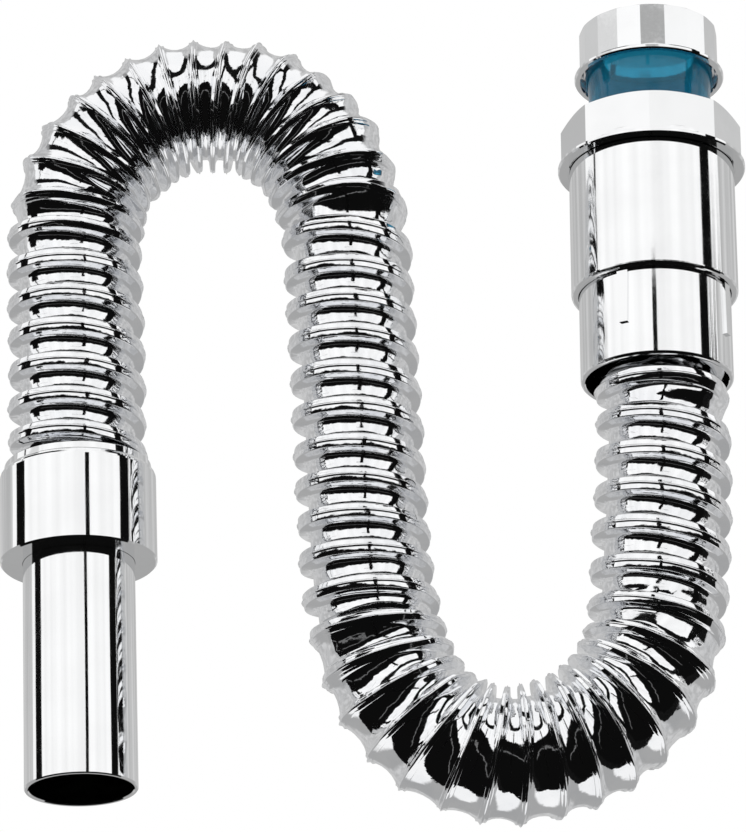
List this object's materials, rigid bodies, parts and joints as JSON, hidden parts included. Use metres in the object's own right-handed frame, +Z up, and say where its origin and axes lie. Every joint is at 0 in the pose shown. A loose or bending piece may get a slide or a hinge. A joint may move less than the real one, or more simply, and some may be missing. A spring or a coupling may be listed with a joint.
{
  "type": "flexible waste pipe",
  "caption": "Chromed flexible waste pipe for a basin: threaded inlet nut, blue neck, bell with one-way odour valve, corrugated S-shaped hose and a plain tail for the drain.",
  "frame": {"origin": "on the inlet axis, at the top of the inlet nut", "axes": "+Z up along the inlet axis, out of the nut towards the basin; the hose lies in the XZ plane and its tail is on the -X side"},
  "size_m": [0.2451, 0.0622, 0.277],
  "materials": {
    "chrome_plate": "bright chrome plate on moulded plastic",
    "metallised_hose": "metallised plastic film under a thin clear skin",
    "blue_plastic": "deep blue translucent gloss plastic",
    "pale_plastic": "natural white moulded plastic",
    "seal_rubber": "black moulded rubber",
    "valve_silicone": "soft blue silicone"
  },
  "bodies": {
    "pipe": {"neck": "blue_plastic", "neck_clip": "pale_plastic", "inlet_washer": "seal_rubber", "collar_gasket": "seal_rubber", "bell_body": "chrome_plate", "tube_seal": "seal_rubber", "valve_holder": "pale_plastic", "odour_valve": "valve_silicone", "hose_socket": "chrome_plate", "socket_seal": "seal_rubber", "hose_seal_upper": "seal_rubber", "hose": "metallised_hose"},
    "inlet_nut": {"inlet_nut": "chrome_plate"},
    "slip_ring": {"slip_ring": "pale_plastic"},
    "collar_nut": {"collar_nut": "chrome_plate"},
    "tail": {"ferrule": "chrome_plate", "tail_tube": "chrome_plate", "hose_seal_lower": "seal_rubber"}
  },
  "joints": [
    {"name": "inlet_turn", "type": "hinge", "parent": "pipe", "child": "inlet_nut", "pos_m": [0, 0, -0.0136], "axis": [0, 0, 1], "continuous": true},
    {"name": "collar_lift", "type": "slide", "parent": "pipe", "child": "slip_ring", "axis": [0, 0, 1], "range_m": [0, 0.0091]},
    {"name": "collar_turn", "type": "hinge", "parent": "slip_ring", "child": "collar_nut", "pos_m": [0, 0, -0.044], "axis": [0, 0, 1], "range_deg": [0, 1080]},
    {"name": "upper_bend_flex", "type": "hinge", "parent": "pipe", "child": "tail", "pos_m": [-0.1465, 0, -0.0265], "axis": [0, 1, 0], "range_deg": [-12, 45], "deforming": ["hose"]}
  ],
  "couplings": [
    {"joint": "collar_lift", "follows": "collar_turn", "m_per_rad": 0.00047746}
  ]
}
